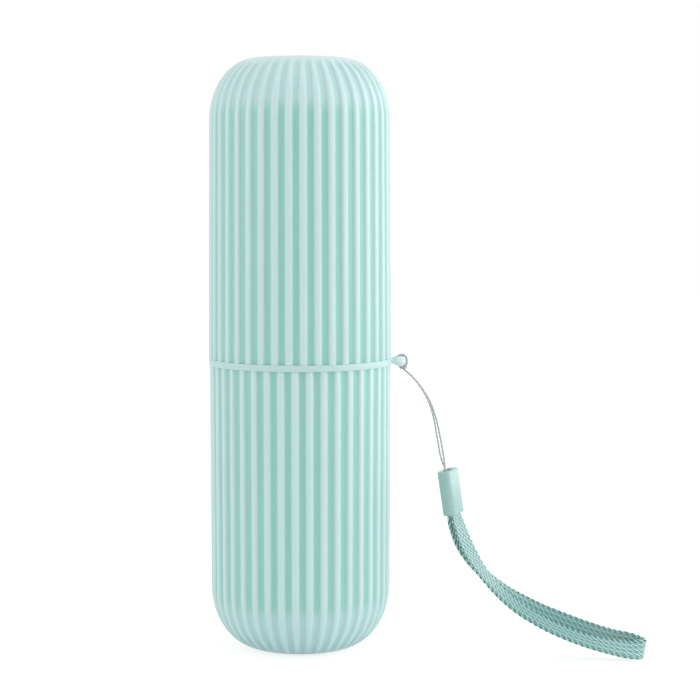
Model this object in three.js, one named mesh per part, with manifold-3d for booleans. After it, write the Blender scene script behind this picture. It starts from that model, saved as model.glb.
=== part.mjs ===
// Travel toothbrush case: a fluted case and a fluted rinse cup that push together over a plain neck,
// a strap ring trapped at the seam, and a wrist strap on a thread that is hitched to the ring's eyelet.
// Millimetres, +Z up. The origin is the middle of the flat foot, and the eyelet points along +X.
import * as THREE from "three";
import { mergeVertices } from "three/addons/utils/BufferGeometryUtils.js";
import Module from "manifold-3d";

const wasm = await Module();
wasm.setup();

// The two fluted halves
const totalHeight = 205; // from the foot to the top
const seamHeight = 101.4; // top face of the strap ring
const sideRadius = 31.3; // over the ribs, where each dome begins
const caseFlare = 0.2; // how much wider the case is at its shoulder
const cupFlare = 0.5; // how much wider the cup is at its mouth
const flatRadius = 15; // the foot, and the top that the cup stands on
const domeHeight = 21.5; // from the flat to where the side begins
const endThickness = 2.2; // floor of each half
const cupWall = 1.3; // under the grooves

// Ribs and grooves
const ribCount = 40;
const crestShare = 0.5; // of the pitch, the rest is groove
const grooveDepth = 1;
const ribStartRadius = 19.5; // the ribs rise out of the dome here
const ribFullRadius = 24; // and have their full height from here
const caseRibTurn = -1.9; // turn of the ribs about the axis, in degrees
const cupRibTurn = 3.4;

// Neck of the case
const neckClearance = 0.3; // inside the cup
const neckWall = 1.4;
const neckReach = 12; // above the strap ring
const neckChamfer = 0.6;

// Strap ring and its eyelet
const ringThickness = 2.2;
const ringClearance = 0.3; // round the neck
const ringEdge = 0.4; // chamfer on the outer edges
const seatGap = 0.25; // between the ring and each half
const eyeletRadius = 2.2;
const eyeletThickness = 3.1;
const eyeletEdge = 0.7; // chamfer on the eyelet
const eyeletClearance = 0.5; // between the eyelet and the cup's rim
const holeInset = 0.3; // of the hole's middle, from the eyelet's middle towards the ring
const holeLength = 3.1; // along the arm
const holeFlare = 0.3; // of the hole at both ends
const armWidth = 3;

// Thread
const threadDiameter = 0.7;
const threadGap = 0.2; // to what it goes round
const strandGap = 0.14; // between the two strands at the hitch
const knotHeight = 2.6;
const knotGap = 0.3; // to the thread's ends and to the ferrule's end wall
const knotClearance = 0.13; // inside the ferrule
const threadShift = -0.9; // in the ferrule, along the tape's width from its middle

// Braided tape
const tapeWidth = 6.6;
const tapeThickness = 1.1;
const tapeSoftness = 0.33; // how far its edges are rounded off
const gatheredWidth = 5.6; // where the ferrule holds it
const layerGap = 0.26; // between the two layers in the ferrule

// Ferrule
const ferruleLength = 15.6;
const ferruleWall = 1.1;
const ferruleTop = 1.6; // its end wall, which the knot is stopped by
const ferruleClearance = 0.2; // round the tape
const ferruleCorner = 1.85; // radius of its long edges
const ferruleEdge = 0.25; // chamfer at both ends
const slotClearance = 0.6; // of the hole in the end wall, round the thread
const tapeSocket = 5; // how far the tape's ends reach in

// Number of flat sides on the round pieces, and of steps along the curved ones
const pointsPerRib = 4;
const domeSteps = 7;
const boreSides = 64;
const smallSides = 24;
const cornerSteps = 8; // of the ferrule's long edges
const threadSides = 8;
const threadSteps = 130;
const turnSteps = 4; // of the thread's path over the eyelet's rim
const tapeSteps = 76;

// Places that follow from the sizes
const caseRimRadius = sideRadius + caseFlare;
const cupRimRadius = sideRadius + cupFlare;
const ringRadius = cupRimRadius;
const caseHeight = seamHeight - ringThickness - seatGap;
const cupMouth = seamHeight + seatGap;
const cupHeight = totalHeight - cupMouth;
const cupBore = sideRadius - grooveDepth - cupWall;
const neckRadius = cupBore - neckClearance;
const caseBore = neckRadius - neckWall;
const neckTop = seamHeight + neckReach;
const ringBore = neckRadius + ringClearance;
const ringMiddle = seamHeight - ringThickness / 2;
const eyelet = new THREE.Vector3(ringRadius + eyeletClearance + eyeletRadius, 0, ringMiddle);
const strandSpread = (threadDiameter + strandGap) / 2;
const eyeletHoleRadius = strandSpread + threadDiameter / 2 + threadGap;
const threadIn = holeInset + holeLength / 2 - eyeletHoleRadius; // where the thread goes in at the top
const threadOut = 2 * holeInset - threadIn; // and where it comes out below, both towards the ring
const hitchHeight = -eyeletThickness / 2 - threadDiameter - threadGap; // from the eyelet's middle
const layerSpace = tapeThickness + layerGap;
const ferruleBoreWidth = gatheredWidth + 2 * ferruleClearance;
const ferruleBoreThickness = layerSpace + tapeThickness + 2 * ferruleClearance;
const boreHeight = ferruleLength - ferruleTop;
const slotWidth = threadDiameter + 2 * (strandSpread + Math.abs(threadShift) + slotClearance);
const slotThickness = threadDiameter + 2 * slotClearance; // less than the knot
const knotRadius = ferruleBoreThickness / 2 - knotClearance;
const knotMiddle = boreHeight - knotGap - knotHeight / 2; // above the ferrule's foot

// The ferrule hangs here, measured from the eyelet's middle.
const ferruleFoot = new THREE.Vector3(19, -5.4, -53);
const ferruleRise = new THREE.Vector3(-2.3, -0.8, 15.6).normalize();

// The thread's run from the eyelet to the ferrule, measured from the eyelet's middle: x, y and z
// halfway between the two strands, then half their spread in x and in y.
const threadRun = [
  [3.9, -0.2, -4.9, 0, 0.42],
  [6.7, -0.6, -8, 0.05, 0.42],
  [10.3, -1.3, -13.7, 0.2, 0.38],
  [12.5, -2.3, -20.2, 0.4, 0.3],
  [13.9, -3.6, -27.2, 0.55, 0.2],
  [15, -5.4, -33.4, 0.5, 0.3],
  [15.95, -6.8, -37.3, 0.02, 0.42],
];

// The tape's run from the ferrule's mouth out to the fold and back, measured from the eyelet's middle:
// x, y and z of the tape's middle, then the way its width points, in degrees: first turned from +X
// up to +Z, then leaning back towards +Y.
const tapeOut = [
  [20, -5.9, -54.6, 16, 56],
  [21.1, -6.5, -57.6, 18, 54],
  [22.45, -7.2, -61.5, 24, 48],
  [25.15, -8.6, -67.1, 31, 51],
  [28.7, -10.4, -72.6, 36, 62],
  [32.4, -12.3, -76.9, 42, 65],
  [36.5, -14.4, -80.7, 49, 64],
  [41.1, -16.6, -84.2, 56, 64],
  [48.1, -19.4, -88.1, 62, 64],
  [54.7, -21.8, -91, 68, 65],
  [63.4, -23.6, -93.9, 75, 61],
  [71.3, -24.6, -95.7, 82, 52],
  [77.4, -24.8, -96.8, 87, 43],
];
const tapeFold = [
  [81.5, -23.8, -97, 84, 20],
  [83.4, -21.6, -96.9, 79, 5],
  [82.8, -19.4, -96.7, 82, -8],
];
const tapeBack = [
  [79.1, -17.8, -95.4, 87, -15],
  [72.9, -16.4, -94.4, 81, -15],
  [64, -15.4, -91.9, 74, -11],
  [54.8, -14.6, -88.7, 67, -4],
  [48.2, -13.9, -86.2, 61, 7],
  [41.9, -13.1, -83.1, 55, 23],
  [36.9, -11.4, -80.1, 49, 43],
  [32.6, -9.3, -76.6, 42, 61],
  [28.3, -7.3, -72.9, 36, 67],
  [24.3, -5.7, -68.5, 31, 64],
  [21.15, -4.6, -63.3, 24, 60],
  [19.25, -4.3, -57.7, 16, 57],
  [18.75, -4.9, -55.1, 16, 56],
];

// The tape lies flat in the ferrule. These are the directions of its face and of its width there.
const [, , , mouthRise, mouthLean] = tapeOut[0];
const ferruleFace = widthDirection(mouthRise, mouthLean).cross(ferruleRise).normalize();
const ferruleAcross = new THREE.Vector3().crossVectors(ferruleRise, ferruleFace);

const material = (color, roughness) =>
  new THREE.MeshStandardMaterial({ color, roughness, metalness: 0 });
const mintPlastic = material(0xa9d8cf, 0.45);
const paleRing = material(0xbfe2dc, 0.5);
const mintSleeve = material(0x9fcfc6, 0.5);
const greyThread = material(0x9aa4a8, 0.7);
const tealBraid = material(0x7fb8b0, 0.9);

// Turns an outline of (radius, height) points about +Z.
function turned(outline, sides, start = 0) {
  const points = outline.map(([radius, height]) => new THREE.Vector2(radius, height));
  return new THREE.LatheGeometry(points, sides, start).rotateX(Math.PI / 2);
}

// A closed geometry as a solid that can be joined and cut.
function solidOf(geometry) {
  const bare = new THREE.BufferGeometry();
  bare.setAttribute("position", geometry.getAttribute("position"));
  bare.setIndex(geometry.index);
  const merged = mergeVertices(bare);
  const corners = merged.index.array;
  const triangles = [];
  for (let i = 0; i < corners.length; i += 3) {
    const [a, b, c] = corners.slice(i, i + 3);
    if (a !== b && b !== c && c !== a) triangles.push(a, b, c);
  }
  const vertProperties = merged.getAttribute("position").array;
  const triVerts = new Uint32Array(triangles);
  return new wasm.Manifold(new wasm.Mesh({ numProp: 3, vertProperties, triVerts }));
}

function geometryOf(solid) {
  const { vertProperties, triVerts } = solid.getMesh();
  const geometry = new THREE.BufferGeometry();
  geometry.setAttribute("position", new THREE.BufferAttribute(vertProperties, 3));
  geometry.setIndex(new THREE.BufferAttribute(triVerts, 1));
  geometry.computeVertexNormals();
  return geometry;
}

function node(name, geometry, surface) {
  const mesh = new THREE.Mesh(geometry, surface);
  mesh.name = name;
  return mesh;
}

// A dome's outline from its flat to the side: a quarter ellipse, with the outward direction at each point.
function dome(flat, side, low, high, steps) {
  const points = [];
  for (let i = 0; i <= steps; i++) {
    const angle = (i / steps) * (Math.PI / 2);
    const out = new THREE.Vector2(Math.sin(angle) / (side - flat), -Math.cos(angle) / (high - low));
    points.push({
      radius: flat + (side - flat) * Math.sin(angle),
      height: low + (high - low) * (1 - Math.cos(angle)),
      out: out.normalize(),
    });
  }
  return points;
}

// One fluted half as a full body, standing on its flat with its rim up.
function flutedBody(rimRadius, height) {
  const rim = { radius: rimRadius, height, out: new THREE.Vector2(1, 0) };
  const skin = [...dome(flatRadius, sideRadius, 0, domeHeight, domeSteps), rim];
  const outline = [[0, 0], ...skin.map((point) => [point.radius, point.height]), [0, height]];
  const sides = ribCount * pointsPerRib;
  const geometry = turned(outline, sides, Math.PI / sides);
  const position = geometry.getAttribute("position");
  for (let side = 0; side <= sides; side++) {
    const acrossRib = (((side + 0.5) / pointsPerRib + 0.5) % 1) - 0.5;
    if (Math.abs(acrossRib) < crestShare / 2) continue;
    skin.forEach(({ radius, out }, row) => {
      const fade = THREE.MathUtils.smoothstep(radius, ribStartRadius, ribFullRadius);
      const vertex = side * outline.length + row + 1;
      const x = position.getX(vertex);
      const y = position.getY(vertex);
      const shrink = 1 - (grooveDepth * fade * out.x) / radius;
      const drop = grooveDepth * fade * out.y;
      position.setXYZ(vertex, x * shrink, y * shrink, position.getZ(vertex) - drop);
    });
  }
  return geometry;
}

// The hollow of one half, from its floor to past its rim.
function hollow(bore, height) {
  const innerFlat = flatRadius - endThickness / 2;
  const wall = dome(innerFlat, bore, endThickness, domeHeight, domeSteps - 2);
  const outline = wall.map((point) => [point.radius, point.height]);
  const past = height + endThickness;
  return turned([[0, endThickness], ...outline, [bore, past], [0, past]], boreSides);
}

function brushCase() {
  const body = flutedBody(caseRimRadius, caseHeight);
  body.rotateZ(THREE.MathUtils.degToRad(caseRibTurn));
  const root = caseHeight - endThickness;
  const neck = turned(
    [
      [0, root],
      [neckRadius, root],
      [neckRadius, neckTop - neckChamfer],
      [neckRadius - neckChamfer, neckTop],
      [0, neckTop],
    ],
    boreSides,
  );
  const solid = solidOf(body).add(solidOf(neck)).subtract(solidOf(hollow(caseBore, neckTop)));
  return node("brush_case", geometryOf(solid), mintPlastic);
}

function rinseCup() {
  const solid = solidOf(flutedBody(cupRimRadius, cupHeight)).subtract(solidOf(hollow(cupBore, cupHeight)));
  const mesh = node("rinse_cup", geometryOf(solid), mintPlastic);
  mesh.rotation.set(Math.PI, 0, THREE.MathUtils.degToRad(cupRibTurn), "ZYX");
  mesh.position.z = totalHeight;
  return mesh;
}

function strapRing() {
  const half = ringThickness / 2;
  const band = turned(
    [
      [ringBore, -half],
      [ringRadius - ringEdge, -half],
      [ringRadius, ringEdge - half],
      [ringRadius, half - ringEdge],
      [ringRadius - ringEdge, half],
      [ringBore, half],
      [ringBore, -half],
    ],
    boreSides,
  );
  const eyeHalf = eyeletThickness / 2;
  const eye = turned(
    [
      [0, -eyeHalf],
      [eyeletRadius - eyeletEdge, -eyeHalf],
      [eyeletRadius, eyeletEdge - eyeHalf],
      [eyeletRadius, eyeHalf - eyeletEdge],
      [eyeletRadius - eyeletEdge, eyeHalf],
      [0, eyeHalf],
    ],
    smallSides,
  );
  eye.translate(eyelet.x, 0, 0);
  const armStart = (ringBore + ringRadius) / 2;
  const arm = new THREE.BoxGeometry(eyelet.x - armStart, armWidth, ringThickness - 2 * ringEdge);
  arm.translate((eyelet.x + armStart) / 2, 0, 0);
  const holeMouth = eyeletHoleRadius + holeFlare;
  const hole = turned(
    [
      [0, -eyeletThickness],
      [holeMouth, -eyeletThickness],
      [holeMouth, -eyeHalf],
      [eyeletHoleRadius, holeFlare - eyeHalf],
      [eyeletHoleRadius, eyeHalf - holeFlare],
      [holeMouth, eyeHalf],
      [holeMouth, eyeletThickness],
      [0, eyeletThickness],
    ],
    smallSides,
  );
  hole.scale(holeLength / 2 / eyeletHoleRadius, 1, 1).translate(eyelet.x - holeInset, 0, 0);
  const solid = solidOf(band).add(solidOf(arm)).add(solidOf(eye)).subtract(solidOf(hole));
  const mesh = node("strap_ring", geometryOf(solid), paleRing);
  mesh.position.z = ringMiddle;
  return mesh;
}

// Middle of the ferrule at a height above its foot, moved along a direction.
function onFerrule(height, away = new THREE.Vector3(), distance = 0) {
  return ferruleFoot.clone().addScaledVector(ferruleRise, height).addScaledVector(away, distance);
}

// A rectangle with round corners, drawn about its middle.
function roundedRectangle(width, height, radius) {
  const x = width / 2 - radius;
  const y = height / 2 - radius;
  const quarter = Math.PI / 2;
  const shape = new THREE.Shape();
  shape.absarc(x, y, radius, 0, quarter);
  shape.absarc(-x, y, radius, quarter, 2 * quarter);
  shape.absarc(-x, -y, radius, 2 * quarter, 3 * quarter);
  shape.absarc(x, -y, radius, 3 * quarter, 4 * quarter);
  return shape;
}

// Turns and moves a piece made along +Z to a height on the ferrule.
function putOnFerrule(mesh, height) {
  const turn = new THREE.Matrix4().makeBasis(ferruleAcross, ferruleFace.clone().negate(), ferruleRise);
  mesh.quaternion.setFromRotationMatrix(turn);
  mesh.position.copy(onFerrule(height));
  return mesh;
}

function ferrule() {
  const wall = 2 * ferruleWall;
  const skin = roundedRectangle(ferruleBoreWidth + wall, ferruleBoreThickness + wall, ferruleCorner);
  const block = new THREE.ExtrudeGeometry(skin, {
    depth: ferruleLength - 2 * ferruleEdge,
    curveSegments: cornerSteps / 2,
    bevelSize: ferruleEdge,
    bevelThickness: ferruleEdge,
    bevelOffset: -ferruleEdge,
    bevelSegments: 1,
  });
  block.translate(0, 0, ferruleEdge);
  const bore = new THREE.ExtrudeGeometry(
    roundedRectangle(ferruleBoreWidth, ferruleBoreThickness, ferruleCorner - ferruleWall),
    { depth: boreHeight + ferruleTop, curveSegments: cornerSteps / 2, bevelEnabled: false },
  );
  bore.translate(0, 0, -ferruleTop);
  const slot = new THREE.ExtrudeGeometry(
    roundedRectangle(slotWidth, slotThickness, slotThickness / 2),
    { depth: 2 * ferruleTop, curveSegments: cornerSteps / 2, bevelEnabled: false },
  );
  slot.translate(0, 0, boreHeight - ferruleTop / 2);
  const solid = solidOf(block).subtract(solidOf(bore)).subtract(solidOf(slot));
  return putOnFerrule(node("ferrule", geometryOf(solid), mintSleeve), 0);
}

function threadKnot() {
  const ball = new THREE.SphereGeometry(knotRadius, smallSides / 2, smallSides / 3);
  ball.rotateX(Math.PI / 2).scale(1, 1, knotHeight / 2 / knotRadius).translate(threadShift, 0, 0);
  return putOnFerrule(node("thread_knot", ball, greyThread), knotMiddle);
}

// One strand from the knot up to the eyelet, over its rim and down through its hole.
function strand(side) {
  const reach = threadDiameter / 2 + threadGap;
  const outside = eyeletRadius + reach;
  const turnRadius = (outside + threadIn) / 2;
  const turnHeight = eyeletThickness / 2 + reach - turnRadius;
  const below = -eyeletThickness / 2 - reach;
  const y = side * strandSpread;
  const across = new THREE.Vector3(0, side, 0);
  const knotEnd = knotMiddle + knotHeight / 2 + knotGap;
  const points = [knotEnd, knotEnd + threadDiameter].map((height) =>
    onFerrule(height, ferruleAcross, threadShift).addScaledVector(across, strandSpread),
  );
  for (const [runX, runY, runZ, spreadX, spreadY] of [...threadRun].reverse()) {
    points.push(new THREE.Vector3(runX + side * spreadX, runY + side * spreadY, runZ));
  }
  points.push(
    new THREE.Vector3(outside / 2, y, hitchHeight),
    new THREE.Vector3(outside - threadGap, y, below + threadDiameter),
    new THREE.Vector3(outside, y, 0),
  );
  for (let step = 0; step <= turnSteps; step++) {
    const angle = (step / turnSteps) * Math.PI;
    const x = turnRadius * (1 + Math.cos(angle)) - threadIn;
    points.push(new THREE.Vector3(x, y, turnHeight + turnRadius * Math.sin(angle)));
  }
  points.push(
    new THREE.Vector3(-holeInset, y, below / 3),
    new THREE.Vector3(-threadOut, y, below + threadDiameter),
  );
  return points;
}

// The bight that comes out under the eyelet and goes round both strands, which meet it at 45 degrees.
function bight() {
  const middle = (eyeletRadius + threadDiameter / 2 + threadGap) / 2;
  const reach = Math.SQRT2 * (threadDiameter + strandGap);
  const width = strandSpread + threadDiameter + strandGap;
  return [-145, -100, -55, 0, 55, 100, 145].map((degrees) => {
    const angle = THREE.MathUtils.degToRad(degrees);
    return new THREE.Vector3(middle + reach * Math.cos(angle), width * Math.sin(angle), hitchHeight);
  });
}

// The thread goes through the eyelet doubled, and is drawn tight through its own bight.
function threadLoop() {
  const path = new THREE.CatmullRomCurve3([...strand(-1), ...bight(), ...strand(1).reverse()]);
  const section = new THREE.Shape();
  section.absarc(0, 0, threadDiameter / 2, 0, 2 * Math.PI);
  const geometry = new THREE.ExtrudeGeometry(section, {
    steps: threadSteps,
    curveSegments: threadSides / 2,
    extrudePath: path,
    bevelEnabled: false,
  });
  return node("thread_loop", geometry, greyThread);
}

// The way the tape's width points, from its two angles in degrees.
function widthDirection(rise, lean) {
  const up = THREE.MathUtils.degToRad(rise);
  const back = THREE.MathUtils.degToRad(lean);
  return new THREE.Vector3(Math.cos(back) * Math.cos(up), Math.sin(back), Math.cos(back) * Math.sin(up));
}

// The tape's stations: its middle, then its two angles and its width.
function tapeStations() {
  const held = (height, side) => ({
    middle: onFerrule(height, ferruleFace, (side * layerSpace) / 2),
    turn: new THREE.Vector3(mouthRise, mouthLean, gatheredWidth),
  });
  const free = [...tapeOut, ...tapeFold, ...tapeBack].map((row) => ({
    middle: new THREE.Vector3(row[0], row[1], row[2]),
    turn: new THREE.Vector3(row[3], row[4], tapeWidth),
  }));
  return [held(tapeSocket, 1), held(0, 1), ...free, held(0, -1), held(tapeSocket, -1)];
}

// Corners of the tape's cross-section, with soft edges, as distances along its width and its face.
function tapeSection(width) {
  const half = tapeThickness / 2;
  const soft = half - tapeSoftness;
  const flat = width / 2 - tapeSoftness;
  return [
    [flat, -half],
    [width / 2, -soft],
    [width / 2, soft],
    [flat, half],
    [-flat, half],
    [-width / 2, soft],
    [-width / 2, -soft],
    [-flat, -half],
  ];
}

// The tape as one flat band, swept along its run and twisted with it.
function wristStrap() {
  const stations = tapeStations();
  const path = new THREE.CatmullRomCurve3(stations.map((station) => station.middle));
  const turns = new THREE.CatmullRomCurve3(stations.map((station) => station.turn));
  const corners = [];
  const faces = [];
  const sides = tapeSection(tapeWidth).length;
  for (let step = 0; step <= tapeSteps; step++) {
    const middle = path.getPoint(step / tapeSteps);
    const along = path.getTangent(step / tapeSteps);
    const turn = turns.getPoint(step / tapeSteps);
    const width = widthDirection(turn.x, turn.y).projectOnPlane(along).normalize();
    const face = new THREE.Vector3().crossVectors(along, width);
    for (const [across, out] of tapeSection(turn.z)) {
      const corner = middle.clone().addScaledVector(width, across).addScaledVector(face, out);
      corners.push(...corner.toArray());
    }
    for (let side = 0; side < sides && step < tapeSteps; side++) {
      const a = step * sides + side;
      const b = step * sides + ((side + 1) % sides);
      faces.push(a, b, a + sides, b, b + sides, a + sides);
    }
  }
  const last = tapeSteps * sides;
  for (let side = 1; side < sides - 1; side++) {
    faces.push(0, side + 1, side);
    faces.push(last, last + side, last + side + 1);
  }
  const geometry = new THREE.BufferGeometry();
  geometry.setAttribute("position", new THREE.Float32BufferAttribute(corners, 3));
  geometry.setIndex(faces);
  geometry.computeVertexNormals();
  return node("wrist_strap", geometry, tealBraid);
}

// The lanyard hangs from the eyelet.
const lanyard = new THREE.Group();
lanyard.position.copy(eyelet);
lanyard.add(threadLoop(), threadKnot(), ferrule(), wristStrap());

const toothbrushCase = new THREE.Group();
toothbrushCase.add(brushCase(), rinseCup(), strapRing(), lanyard);

export default toothbrushCase;
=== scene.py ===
import math

import bmesh
import bpy
from mathutils import Matrix, Vector
from mathutils.geometry import interpolate_bezier


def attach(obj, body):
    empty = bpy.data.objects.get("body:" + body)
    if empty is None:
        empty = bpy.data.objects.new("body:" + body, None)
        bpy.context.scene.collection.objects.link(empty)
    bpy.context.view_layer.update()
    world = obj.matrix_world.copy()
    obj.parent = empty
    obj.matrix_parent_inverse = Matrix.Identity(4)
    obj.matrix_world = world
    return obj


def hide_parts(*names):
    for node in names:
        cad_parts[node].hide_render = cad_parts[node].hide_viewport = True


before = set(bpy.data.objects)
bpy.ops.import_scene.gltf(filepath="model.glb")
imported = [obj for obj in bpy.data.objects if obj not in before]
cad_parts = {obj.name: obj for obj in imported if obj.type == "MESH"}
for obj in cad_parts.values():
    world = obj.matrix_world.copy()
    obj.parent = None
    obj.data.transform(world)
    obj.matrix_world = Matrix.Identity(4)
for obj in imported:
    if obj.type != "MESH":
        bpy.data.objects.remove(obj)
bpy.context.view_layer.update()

MM = 0.001

# Camera, in metres
CAMERA_PLACE = (0.01735, -0.7, 0.1623)
CAMERA_DIP = 4.76  # degrees that it looks down
SENSOR_WIDTH = 36.0  # millimetres, as is the lens
LENS = 103.5

# The two fluted halves
TOTAL_HEIGHT = 205.0
SEAM_HEIGHT = 101.4  # top face of the strap ring
SIDE_RADIUS = 31.3
CASE_RIM_RADIUS = 31.5
CUP_RIM_RADIUS = 31.8
FLAT_RADIUS = 15.0
DOME_HEIGHT = 21.5
END_THICKNESS = 2.2
RIB_COUNT = 40
GROOVE_DEPTH = 0.85
RIB_START_RADIUS = 19.5
RIB_FULL_RADIUS = 24.0
CASE_RIB_TURN = -1.9  # degrees
CUP_RIB_TURN = 3.4
RIB_COLUMNS = [0.0, 0.1, 0.16, 0.2, 0.235, 0.27, 0.31, 0.4, 0.5]  # across half a rib, as shares of the pitch
FLANK = (0.12, 0.34)  # where a rib's flank begins and ends, as shares of the pitch from the crest's middle
GROOVE_PAINTED_SHADE = (0.19, 0.34)  # where the painted shade in the grooves, a darker greener colour, begins and is full
DOME_PAINTED_SHADE = 0.36  # share of that painted shade on the domes
PAINTED_SHADE_GROWS = (14.0, 20.0)  # heights from a half's flat between which the painted shade grows to full
CUP_BORE = 29.0
CUP_LIP = 0.4  # round inside the cup's mouth
CUP_LIP_MIDDLE = 0.12
CUP_LAND = 2.0  # plain bore behind the mouth
NECK_RADIUS = 28.7
NECK_FILLET = 0.15
NECK_SIDE_END = 0.9  # below the neck's top
CASE_BORE = 27.3
NECK_TOP = 113.4
RING_THICKNESS = 2.2
SEAM_LINE = 0.03  # the fine gap that shows between the ring and each half
RIM_ROUND = 0.06
SHARP_EDGE = 50  # degrees from which an edge is shaded sharp
DOME_STEPS = 26
HOLLOW_STEPS = 12

# Strap ring and eyelet
RING_BORE = 29.0
RING_RADIUS = 31.8
RING_ROUND = 0.08
RING_BORE_ROUND = 0.15
RING_MIDDLE = 100.3
RING_STEPS = 192
EYELET = Vector((34.5, 0.0, RING_MIDDLE))
EYELET_RADIUS = 2.4
EYELET_THICKNESS = 3.3
EYELET_HOLE = 0.85
HOLE_INSET = 0.3  # of the hole's middle, from the eyelet's middle towards the ring
HOLE_STRETCH = 1.6  # of the hole along the arm
HOLE_ROUND = 0.35
HOLE_MARGIN = 1.15  # times the hole, within which an edge belongs to it
EYELET_ROUND = 1.25
EYELET_CORNER = 1.0  # radians from which an edge is a corner to be rounded
ARM_WIDTH = 3.0
ARM_THICKNESS = 1.5
ARM_SINK = 1.0  # how far the arm reaches into the band
ARM_NARROWS = (0.6, 2.8)  # from the eyelet's middle, where it goes over to the thinner arm
EYELET_PAINTED_LIGHT_FROM = (-1.0, 0.4)  # past the band's outside, where the eyelet's painted light, a paler colour, begins and is full

# Thread
THREAD_DIAMETER = 0.7
THREAD_GAP = 0.2
STRAND_SPREAD = 0.42
THREAD_IN = 0.88  # where the thread goes in at the top of the eyelet, towards the ring
THREAD_OUT = -0.28  # and where it comes out below
EYE_RADIUS = 2.2  # the eyelet that the thread's route goes round
EYE_THICKNESS = 3.1
HITCH_HEIGHT = -EYE_THICKNESS / 2 - THREAD_DIAMETER - THREAD_GAP
HITCH_REACH = 1.19
HITCH_WIDTH = 1.26
KNOT_MIDDLE = 12.4  # above the ferrule's foot
KNOT_HEIGHT = 2.6
KNOT_RADIUS = 1.3
KNOT_STRAND = 0.33  # radius of the strand that it is tied from
THREAD_START = 14.0  # above the ferrule's foot
THREAD_SHIFT = -0.9  # in the ferrule, along the tape's width from its middle
PLY_RADIUS = 0.27
PLY_OFFSET = 0.07  # of each ply from the thread's middle
PLY_LEAD = 3.2  # length of thread in which the plies go once round each other
THREAD_STEPS = 18  # on each leg of the thread's route

# Ferrule, measured from the eyelet's middle
FERRULE_FOOT = Vector((19.0, -5.4, -53.0))
FERRULE_RISE = Vector((-2.3, -0.8, 15.6)).normalized()
FERRULE_LENGTH = 15.6
FERRULE_BORE_WIDTH = 6.0
FERRULE_BORE_THICKNESS = 2.86
FERRULE_WALL = 1.1
FERRULE_TOP = 1.6  # its end wall, which the knot is stopped by
FERRULE_CORNER = 1.85  # radius of its long edges
FERRULE_ROUND = 0.35  # of its end edges
FERRULE_LIP = 0.2  # round of the edges of its mouth and slot
SLOT_WIDTH = 4.54  # of the hole in its end wall
SLOT_THICKNESS = 1.9

# Braided tape
TAPE_WIDTH = 6.6
GATHERED_WIDTH = 5.6
LAYER_SPACE = 1.36
TAPE_SOCKET = 5.0
YARNS_EACH_WAY = 16
BRAID_LEAD = 33.0  # length of tape in which a yarn goes once round it
YARN_HALF_WIDTH = 0.35
YARN_HALF_THICKNESS = 0.2
YARN_LIFT = 0.13  # how far a yarn rises and dips at its crossings
BRAID_HALF_THICKNESS = 0.3  # from the tape's middle to the middle of one face
TAPE_STEPS = 24  # on each leg of the tape's route
SHADE_SHEET_INSET = 0.3  # of the painted shade sheet inside the braid, a dark flat tube in the gap colour, from its sides
SHADE_SHEET_HALF_THICKNESS = 0.1
SHADE_SHEET_STRIDE = 6  # steps of the route to one of the shade sheet
RISE_BIAS = 0.15  # how much longer a yarn lies under the others than over them
RISE_GAIN = 1.35  # how flat the tops and bottoms of its waves are
FAVOUR_NEAR = -0.7  # how far the yarns of one way round stand out at the tape's start
FAVOUR_FAR = 1.0  # and further on
FAVOUR_TURNS = (12.0, 42.0)  # lengths along the tape between which that changes
FAVOUR_LIFT = 0.04  # how much further out the favoured yarns lie
FAVOUR_WIDTH = 0.14  # and how much wider they are, as a share
PAINTED_PALE_FADES = (24.0, 52.0)  # lengths from the ferrule over which the tape's painted light, a paler stretch, ends
EDGE_SHADE = 0.15  # painted shade: how much darker the tape's edge is on that stretch
EDGE_FROM = 0.75  # share of the half width where that begins
OPEN_SHARE = 0.57  # painted light and shade: how open to the light a yarn is painted halfway between its top and its dip
OPEN_FAVOUR = 0.15  # more painted light for a favoured yarn
OPEN_HELD = 0.1  # more painted light on the stretch near the ferrule
OPEN_RISE = 0.255  # more painted light on top of the other yarns, and painted shade under them
OPEN_RISE_FAVOUR = 0.025
CROWN = (-0.1, 0.85)  # how high round a yarn its own colour begins to cover the painted gap shade, and is full
STREAK_SHARE = 0.6  # of the filaments' streaks in a yarn's colour; the rest is its slow fading
YARN_APART = 300.0  # shifts of the streaks along a yarn, so that no two yarns have the same
WAY_APART = 7000.0

# Painted shade on the tape near the ground, in metres
LOW_SHADE_FROM = 0.030  # height at which the painted shade begins
LOW_SHADE_FULL = 0.014
FOLD_FROM = 0.092  # distance along X at which the painted shade weakens towards the fold
FOLD_FULL = 0.112
FOLD_SHARE = 0.4  # what is left of it there

# Stage, in metres
FLOOR_RADIUS = 2.5
FLOOR_DROP = 0.0002  # below the foot
TABLE_COLOUR = (0.83, 0.90, 0.89, 1)  # of the floor where it lights the object
CATCHER_COLOUR = (0.35, 0.35, 0.35, 1)  # of the floor that shows the shadow
FLOOR_GLOW = 0.78  # lifts the floor to white where nothing shades it
WORLD_LIGHT = 0.65
LAMP_AIM = (0, 0, 0.1)

# The thread's run from the eyelet to the ferrule, measured from the eyelet's middle: x, y and z
# halfway between the two strands, then half their spread in x and in y.
THREAD_RUN = [
    (3.9, -0.2, -4.9, 0, 0.42),
    (6.7, -0.6, -8, 0.05, 0.42),
    (10.3, -1.3, -13.7, 0.2, 0.38),
    (12.5, -2.3, -20.2, 0.4, 0.3),
    (13.9, -3.6, -27.2, 0.55, 0.2),
    (15, -5.4, -33.4, 0.5, 0.3),
    (15.95, -6.8, -37.3, 0.02, 0.42),
]

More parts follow.
